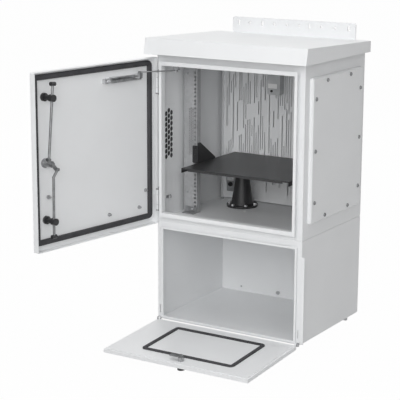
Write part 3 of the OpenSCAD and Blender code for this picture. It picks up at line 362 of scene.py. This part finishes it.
def surface(name, grids, finish, body, round_u=False):
    """Mesh piece from like grids of points (grid, u, v, xyz): quads between neighbours, wrapped round v, and
    round u where that is asked. Points that fall together at seams and poles are merged, and faces are
    turned outwards."""
    count, rows, columns = grids.shape[:3]
    u, v = np.meshgrid(np.arange(rows if round_u else rows - 1), np.arange(columns), indexing="ij")
    next_u, next_v = (u + 1) % rows, (v + 1) % columns
    corners = [u * columns + v, next_u * columns + v, next_u * columns + next_v, u * columns + next_v]
    quads = np.stack(corners, -1).reshape(1, -1, 4) + np.arange(count)[:, None, None] * rows * columns
    mesh = bpy.data.meshes.new(name)
    mesh.from_pydata(grids.reshape(-1, 3).tolist(), [], quads.reshape(-1, 4).tolist())
    shell = bmesh.new()
    shell.from_mesh(mesh)
    bmesh.ops.remove_doubles(shell, verts=shell.verts, dist=MERGE_DISTANCE)
    bmesh.ops.recalc_face_normals(shell, faces=shell.faces)
    shell.to_mesh(mesh)
    shell.free()
    mesh.polygons.foreach_set("use_smooth", np.ones(len(mesh.polygons), dtype=bool))
    mesh.set_sharp_from_angle(angle=SHARP_ANGLE)
    mesh.materials.append(bpy.data.materials[finish])
    piece = bpy.data.objects.new(name, mesh)
    bpy.context.scene.collection.objects.link(piece)
    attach(piece, body)
    return piece


def opened(points, joint):
    """Points given with the door closed, turned about the joint's axis to where the open door rests:
    the part along the axis stays, and the rest turns by the joint's whole range."""
    turn = -math.radians(joint["range_deg"][0])
    axis, centre = np.array(joint["axis"], float), np.array(joint["pos_m"])
    local = points - centre
    along = (local @ axis)[..., None] * axis
    return centre + along + (local - along) * math.cos(turn) + np.cross(axis, local) * math.sin(turn)


def ring_path(width, height, radii):
    """Rounded rectangle round the origin, anticlockwise from its upper right corner: points and outward
    normals. A corner of no radius is one point with a mitre's normal, which is longer by the root of two."""
    eighth = math.pi / 4
    sweep = np.linspace(-eighth, eighth, CORNER_STEPS)[:, None]
    points, normals = [], []
    for k, radius in enumerate(radii):
        middle = eighth + k * math.pi / 2
        signs = np.sign([math.cos(middle), math.sin(middle)])
        turn = middle + (sweep if radius else np.zeros((1, 1)))
        normal = np.concatenate([np.cos(turn), np.sin(turn)], 1) * (1.0 if radius else math.sqrt(2.0))
        points.append(signs * (np.array([width, height]) / 2 - radius) + radius * normal)
        normals.append(normal)
    return np.concatenate(points), np.concatenate(normals)


def bead(ring, width, height):
    """Foam bead carried round a ring in X and Z: its cross-section is half a squared-off ellipse, offset
    along the ring's normal by half the width times a power of the cosine, and raised by the height times
    a power of the sine. The ring's size is that of the bead's outer edge."""
    side_power, top_power = 0.45, 0.5
    path, normals = ring_path(ring["size"][0] - width, ring["size"][1] - width, ring["radii"])
    turn = np.linspace(0.0, math.pi, BEAD_STEPS)
    out = width / 2 * np.sign(np.cos(turn)) * np.abs(np.cos(turn)) ** side_power
    rise = height * np.sin(turn) ** top_power
    flat = path[:, None, :] + normals[:, None, :] * out[None, :, None]
    deep = np.broadcast_to(ring["base_y"] + rise, flat.shape[:2])
    return np.stack([ring["middle"][0] + flat[..., 0], deep, ring["middle"][1] + flat[..., 1]], -1)


def head_frame(normal):
    """Two directions across a head that looks along a normal, which isn't upright, and the normal: the first
    is level and the second climbs."""
    normal = np.array(normal, float)
    side = np.cross(UP, normal)
    side /= np.linalg.norm(side)
    return side, np.cross(normal, side), normal


def cross_screw(place, normal, radius, height, twist, shank=(0.0, 0.0)):
    """Pan head with a cross recess: over a disc, the height is that of the wall and a crown times the root of
    one less most of the fourth power of the distance from the middle, less a cross of two crossed slots with
    sloping sides. A straight wall leads down to the seat, and a shank of the given radius and length, where
    there is one, goes on below it. Sizes of the head are against its radius and height."""
    slot_half, slot_reach, side_slope, end_slope = 0.17, 0.62, 12, 6
    first_ring, wall, crown, fall, depth = 0.04, 0.35, 0.65, 0.96, 0.5
    side, up, out = head_frame(normal)
    reach = np.concatenate([[0.0], np.linspace(first_ring, 1.0, HEAD_RINGS)])[:, None]
    turn = np.linspace(0.0, 2 * math.pi, HEAD_STEPS, endpoint=False)[None, :]
    across = np.abs(np.stack([reach * np.cos(turn + twist), reach * np.sin(turn + twist)]))
    walls = np.clip((slot_half - across) * side_slope, 0, 1)
    ends = np.clip((slot_reach - across[::-1]) * end_slope, 0, 1)
    recess = np.max(walls * ends, axis=0)
    dome = wall + crown * np.sqrt(np.clip(1 - fall * reach ** 4, 0, 1))
    level = height * dome - depth * height * recess
    x, y = reach * np.cos(turn) * radius, reach * np.sin(turn) * radius
    top = x[..., None] * side + y[..., None] * up + level[..., None] * out
    skirt = top[-1:] - level[-1:, :, None] * out
    neck = skirt * (shank[0] / radius)
    tip = neck - shank[1] * out
    return np.array(place) + np.concatenate([top, skirt, neck, tip, tip * 0.0 - shank[1] * out])


def turned_piece(place, normal, profile):
    """Surface of revolution: a profile of radius and height, carried round the normal."""
    side, up, out = head_frame(normal)
    turn = np.linspace(0.0, 2 * math.pi, TURNED_STEPS, endpoint=False)
    round_it = np.cos(turn)[:, None] * side + np.sin(turn)[:, None] * up
    radius, level = profile.T
    return np.array(place) + radius[:, None, None] * round_it[None] + level[:, None, None] * out


def plate(place, normal, width, height, thick, corner):
    """Thin plate with rounded corners and a soft rim: rings of one rounded outline, drawn in towards the
    middle, that rise over the rim as a quarter of an ellipse and end in the plate's centre."""
    side, up, out = head_frame(normal)
    path, normals = ring_path(width, height, (corner,) * 4)
    inset = np.array([0.0, 0.0, 0.15, 0.5, 1.0])[:, None, None] * thick
    rise = np.array([0.0, 0.5, 0.85, 0.98, 1.0, 1.0]) * thick
    rings = path[None] - inset * normals[None]
    rings = np.concatenate([rings, rings[-1:] * 0.0])
    return np.array(place) + rings[..., :1] * side + rings[..., 1:] * up + rise[:, None, None] * out


def colour_prop(name, description, default):
    """Colour property with three channels."""
    return bpy.props.FloatVectorProperty(
        name=name, description=description, default=default, subtype="COLOR", size=3, min=0.0, max=1.0
    )


def length_prop(name, description, default):
    """Length property in metres."""
    return bpy.props.FloatProperty(name=name, description=description, default=default, unit="LENGTH")


def angle_prop(name, description, degrees):
    """Angle property, with its default given in degrees."""
    return bpy.props.FloatProperty(
        name=name, description=description, default=math.radians(degrees), subtype="ANGLE"
    )


class CabinetFinishes(bpy.types.PropertyGroup):
    """Colours of the cabinet's finishes"""

    paint: colour_prop("Paint", "Light powder coat of bodies, doors and hood", (0.865, 0.875, 0.885))
    black: colour_prop("Black paint", "Powder coat of the shelf and pedestal", (0.040, 0.040, 0.042))
    zinc: colour_prop("Zinc", "Plated fittings", (0.42, 0.425, 0.435))
    # Darker copy of the zinc plate, as painted shade and dark reflection on rods, cams and cover screws
    steel: colour_prop("Steel", "Plain steel of rods, cams and cover screws", (0.22, 0.225, 0.23))
    # Lighter copy of the zinc plate, as painted light on the shaded channel and the bolts
    bright: colour_prop("Bright zinc", "Freshly plated channel and bolts", (0.60, 0.605, 0.615))
    sheet: colour_prop("Galvanised sheet", "Rack rails", (0.44, 0.445, 0.455))
    seal: colour_prop("Seal", "Foam rubber seals", (0.042, 0.042, 0.046))
    plastic: colour_prop("Plastic", "Black moulded pieces", (0.020, 0.020, 0.022))
    housing: colour_prop("Box", "Light plastic of the small box", (0.54, 0.55, 0.56))
    label: colour_prop("Label", "Blank label plate", (0.93, 0.93, 0.93))
    filter: colour_prop("Filter", "Filter mat behind the vent", (0.055, 0.055, 0.058))


class CabinetFittings(bpy.types.PropertyGroup):
    """Sizes of the small fittings"""

    seal_width: length_prop("Seal width", "Width of the upper door's seal", 19 * MM)
    seal_height: length_prop("Seal height", "Height of the upper door's seal over the sheet", 10.7 * MM)
    flap_seal_width: length_prop("Flap seal width", "Width of the flap's seal", 14.5 * MM)
    flap_seal_height: length_prop("Flap seal height", "Height of the flap's seal over the liner", 5 * MM)
    screw_radius: length_prop("Screw", "Radius of the screw heads on rails and hinges", 4.5 * MM)
    cover_screw_radius: length_prop("Cover screw", "Radius of the screw heads on the side cover", 7 * MM)
    label_width: length_prop("Label width", "Width of the blank label on the small box", 38 * MM)
    label_height: length_prop("Label height", "Height of the blank label on the small box", 18 * MM)


class CabinetStage(bpy.types.PropertyGroup):
    """Camera and floor"""

    floor: colour_prop("Floor", "Colour of the floor", (0.56, 0.56, 0.56))
    floor_gap: length_prop("Floor gap", "Floor below the object's lowest point", 12 * MM)
    lens: bpy.props.FloatProperty(
        name="Lens", description="Focal length on a 36 mm sensor", default=123.53, unit="CAMERA"
    )
    azimuth: angle_prop("Azimuth", "Camera round the object", 31.788)
    elevation: angle_prop("Elevation", "Camera above the horizon", 12.791)
    roll: angle_prop("Roll", "Camera turned about its own axis", 0.212)
    distance: length_prop("Distance", "Camera to target", 4.955216)


class CABINET_OT_finishes(bpy.types.Operator):
    """Gives every solid of the cabinet its finish"""

    bl_idname = "cabinet.finishes"
    bl_label = "Finishes"

    def execute(self, context):
        look = context.scene.cabinet_finishes
        finishes = {
            "paint": powder_coat("light_powder_coat", look.paint, gloss=0.36, peel=0.22, ior=1.48),
            "black_paint": powder_coat("black_powder_coat", look.black, gloss=0.28, peel=0.4, ior=1.36),
            "zinc": zinc_plate("zinc_plate", look.zinc, gloss=0.26),
            "seal": foam_rubber("foam_seal", look.seal),
            "black_plastic": moulded_plastic("black_plastic", look.plastic, gloss=0.36),
            "grey_plastic": moulded_plastic("light_plastic", look.housing, gloss=0.42),
        }
        moulded_plastic("label_plastic", look.label, gloss=0.3)
        apart = {"vent_filter": filter_mat("filter_mat", look.filter)}
        apart.update(dict.fromkeys(RAILS, galvanised_sheet("galvanised_sheet", look.sheet)))
        # Darker copy of the zinc plate: painted shade
        apart.update(dict.fromkeys(SHADED_PIECES, zinc_plate("zinc_painted_darker", look.steel, gloss=0.2)))
        # Lighter copy of the zinc plate: painted light
        apart.update(dict.fromkeys(LIT_PIECES, zinc_plate("zinc_painted_lighter", look.bright, gloss=0.2)))
        for name, solid in frame["nodes"].items():
            solid.data.materials.clear()
            solid.data.materials.append(apart.get(name) or finishes[SLOTS[name]])
        return {"FINISHED"}


class CABINET_OT_seals(bpy.types.Operator):
    """Makes the rounded foam beads of both doors in place of their plain solids"""

    bl_idname = "cabinet.seals"
    bl_label = "Seals"

    def execute(self, context):
        sizes = context.scene.cabinet_fittings
        closed = bead(UPPER_RING, sizes.seal_width, sizes.seal_height)
        grid = opened(closed, JOINTS["upper_door_swing"])
        ring = surface("upper_seal_bead", grid[None], "foam_seal", "upper_door_body", round_u=True)
        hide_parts("upper_seal")

        closed = bead(LOWER_RING, sizes.flap_seal_width, sizes.flap_seal_height)
        grid = opened(closed, JOINTS["lower_door_drop"])
        ring = surface("lower_seal_bead", grid[None], "foam_seal", "lower_door_body", round_u=True)
        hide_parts("lower_seal")
        return {"FINISHED"}


class CABINET_OT_screws(bpy.types.Operator):
    """Sets cross-head screws on the rails, their feet and the hinge plates"""

    bl_idname = "cabinet.screws"
    bl_label = "Screws"

    def execute(self, context):
        common = context.scene.cabinet_fittings.screw_radius
        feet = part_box("rail_feet")
        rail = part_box("rack_rail_left")
        places = [
            ((side * RAIL_SCREW_X, rail[0][1], z), RAIL_SCREW_SIZE) for side in SIDES for z in RAIL_SCREW_Z
        ]
        foot_y, foot_z = feet[0][1] + FOOT_SCREW_IN, feet[0][2] + FOOT_SCREW_UP
        places += [((side * FOOT_SCREW_X, foot_y, foot_z), FOOT_SCREW_SIZE) for side in SIDES]
        for name in ("hinge_bracket_upper", "hinge_bracket_lower"):
            low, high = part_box(name)
            x, y = (low[0] + high[0]) / 2, high[1] - HINGE_SCREW_IN
            ends = (low[2] + HINGE_SCREW_END, high[2] - HINGE_SCREW_END)
            places += [((x, y, z), HINGE_SCREW_SIZE) for z in ends]
        for k, (place, size) in enumerate(places):
            radius = common * size
            grid = cross_screw(place, FRONT, radius, SCREW_HEIGHT * radius, SCREW_TWIST * k)
            surface(f"cross_screw_{k + 1}", grid[None], "zinc_plate", "cabinet")
        return {"FINISHED"}


class CABINET_OT_cover_screws(bpy.types.Operator):
    """Sets the cross-head screws round the rim of the side cover in place of their plain solids"""

    bl_idname = "cabinet.cover_screws"
    bl_label = "Cover screws"

    def execute(self, context):
        low, high = (np.array(corner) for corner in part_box("side_cover_screws"))
        radius = context.scene.cabinet_fittings.cover_screw_radius
        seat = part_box("side_cover")[1][0]
        middle, half = (low + high) / 2, (high - low) / 2 - radius
        upright = [(side * half[1], step * COVER_SCREW_RISE) for side in SIDES for step in (-1, 0, 1)]
        level = [(side * COVER_SCREW_SPREAD, end * half[2]) for side in SIDES for end in SIDES]
        shank = (COVER_SHANK_RADIUS, seat - low[0])
        heads = []
        for k, (y, z) in enumerate(upright + level):
            place = (seat, middle[1] + y, middle[2] + z)
            heads.append(cross_screw(place, RIGHT, radius, high[0] - seat, COVER_SCREW_TWIST * k, shank))
        # The heads take the darker copy of the zinc plate, as painted shade and dark reflection
        ring = surface("cover_screw_heads", np.stack(heads), "zinc_painted_darker", "cabinet")
        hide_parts("side_cover_screws")
        return {"FINISHED"}


class CABINET_OT_label(bpy.types.Operator):
    """Sets the blank label on the small box and the cable gland on the back panel"""

    bl_idname = "cabinet.label"
    bl_label = "Label and gland"

    def execute(self, context):
        sizes = context.scene.cabinet_fittings
        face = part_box("sensor_box")[0][1]
        place = (LABEL_X, face, LABEL_Z)
        grid = plate(place, FRONT, sizes.label_width, sizes.label_height, LABEL_THICK, LABEL_CORNER)
        surface("blank_label", grid[None], "label_plastic", "cabinet")

        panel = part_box("back_panel")[0][1]
        place = (GLAND_PLATE_X, panel, GLAND_PLATE_Z)
        size = (GLAND_PLATE_WIDTH, GLAND_PLATE_HEIGHT, GLAND_PLATE_THICK)
        grid = plate(place, FRONT, *size, GLAND_PLATE_CORNER)
        surface("gland_plate", grid[None], "zinc_plate", "cabinet")
        place = (GLAND_X, panel - GLAND_PLATE_THICK, GLAND_Z)
        grid = turned_piece(place, FRONT, np.array(GLAND_PROFILE) * MM)
        surface("cable_gland", grid[None], "black_plastic", "cabinet")
        return {"FINISHED"}


def aimed(place, back, roll=0.0):
    """Matrix of what stands at a place and looks away from the unit direction back, with its right side
    level, and is then turned by roll about its own axis."""
    right = np.cross(UP, back)
    right /= np.linalg.norm(right)
    up = np.cross(back, right)
    matrix = np.eye(4)
    matrix[:3, 0] = right * math.cos(roll) + up * math.sin(roll)
    matrix[:3, 1] = -right * math.sin(roll) + up * math.cos(roll)
    matrix[:3, 2] = back
    matrix[:3, 3] = place
    return Matrix(matrix.tolist())


def soft_lamp(name, place, target, size, power, mirrored):
    """Square soft box at a place, turned to its target, and seen in glossy faces if mirrored."""
    lamp = bpy.data.lights.new(name, "AREA")
    lamp.shape = "SQUARE"
    lamp.size = size
    lamp.energy = power
    box = bpy.data.objects.new(name, lamp)
    box.visible_glossy = mirrored
    back = np.array(place) - np.array(target)
    box.matrix_world = aimed(place, back / np.linalg.norm(back))
    bpy.context.scene.collection.objects.link(box)


class CABINET_OT_stage(bpy.types.Operator):
    """Sets the floor, the light and the camera"""

    bl_idname = "cabinet.stage"
    bl_label = "Stage"

    def execute(self, context):
        scene = context.scene
        stage = scene.cabinet_stage
        level = CAD_BOX[0][2] - stage.floor_gap
        outline = ((-1, -1), (1, -1), (1, 1), (-1, 1))
        mesh = bpy.data.meshes.new("floor")
        mesh.from_pydata([(x * FLOOR_REACH, y * FLOOR_REACH, level) for x, y in outline], [], [(0, 1, 2, 3)])
        floor = bpy.data.objects.new("floor", mesh)
        scene.collection.objects.link(floor)
        ground = Finish("floor_white", Base_Color=shade(stage.floor, 1.0), Roughness=0.9)
        glow = ground.node("ShaderNodeEmission")
        ground.show(ground.seen() * FLOOR_WHITENESS, ground.shader, glow)
        mesh.materials.append(ground.material)

        scene.world = bpy.data.worlds.new("studio")
        scene.world.use_nodes = True
        studio = Nodes(scene.world.node_tree, "ShaderNodeOutputWorld")
        ambient = studio.node("ShaderNodeBackground", None, {"Color": WHITE, "Strength": AMBIENT})
        backdrop = studio.node("ShaderNodeBackground", None, {"Color": WHITE})
        studio.show(studio.seen(), ambient, backdrop)

        for lamp in LAMPS:
            soft_lamp(*lamp)

        camera = bpy.data.cameras.new("camera")
        camera.lens = stage.lens
        camera.sensor_width = SENSOR_WIDTH
        camera.sensor_fit = "HORIZONTAL"
        camera.clip_end = CAMERA_REACH
        viewer = bpy.data.objects.new("camera", camera)
        level_back = math.cos(stage.elevation)
        back = np.array([
            math.sin(stage.azimuth) * level_back,
            -math.cos(stage.azimuth) * level_back,
            math.sin(stage.elevation),
        ])
        viewer.matrix_world = aimed(np.array(CAMERA_TARGET) + back * stage.distance, back, stage.roll)
        scene.collection.objects.link(viewer)
        scene.camera = viewer
        scene.view_settings.view_transform = "Standard"
        return {"FINISHED"}


OPERATORS = [
    CABINET_OT_finishes,
    CABINET_OT_seals,
    CABINET_OT_screws,
    CABINET_OT_cover_screws,
    CABINET_OT_label,
    CABINET_OT_stage,
]


class CABINET_PT_panel(bpy.types.Panel):
    """Lists the cabinet's operators"""

    bl_idname = "CABINET_PT_panel"
    bl_label = "Cabinet"
    bl_space_type = "VIEW_3D"
    bl_region_type = "UI"
    bl_category = "Cabinet"

    def draw(self, context):
        for operator in OPERATORS:
            self.layout.operator(operator.bl_idname)


CLASSES = [CabinetFinishes, CabinetFittings, CabinetStage] + OPERATORS + [CABINET_PT_panel]


def register():
    """Registers the classes and hangs the settings on the scene."""
    for item in CLASSES:
        bpy.utils.register_class(item)
    bpy.types.Scene.cabinet_finishes = bpy.props.PointerProperty(type=CabinetFinishes)
    bpy.types.Scene.cabinet_fittings = bpy.props.PointerProperty(type=CabinetFittings)
    bpy.types.Scene.cabinet_stage = bpy.props.PointerProperty(type=CabinetStage)


def unregister():
    """Takes the settings and classes away again."""
    del bpy.types.Scene.cabinet_stage
    del bpy.types.Scene.cabinet_fittings
    del bpy.types.Scene.cabinet_finishes
    for item in reversed(CLASSES):
        bpy.utils.unregister_class(item)


def main():
    register()
    bpy.ops.cabinet.finishes()
    bpy.ops.cabinet.seals()
    bpy.ops.cabinet.screws()
    bpy.ops.cabinet.cover_screws()
    bpy.ops.cabinet.label()
    bpy.ops.cabinet.stage()


if __name__ == "__main__":
    main()
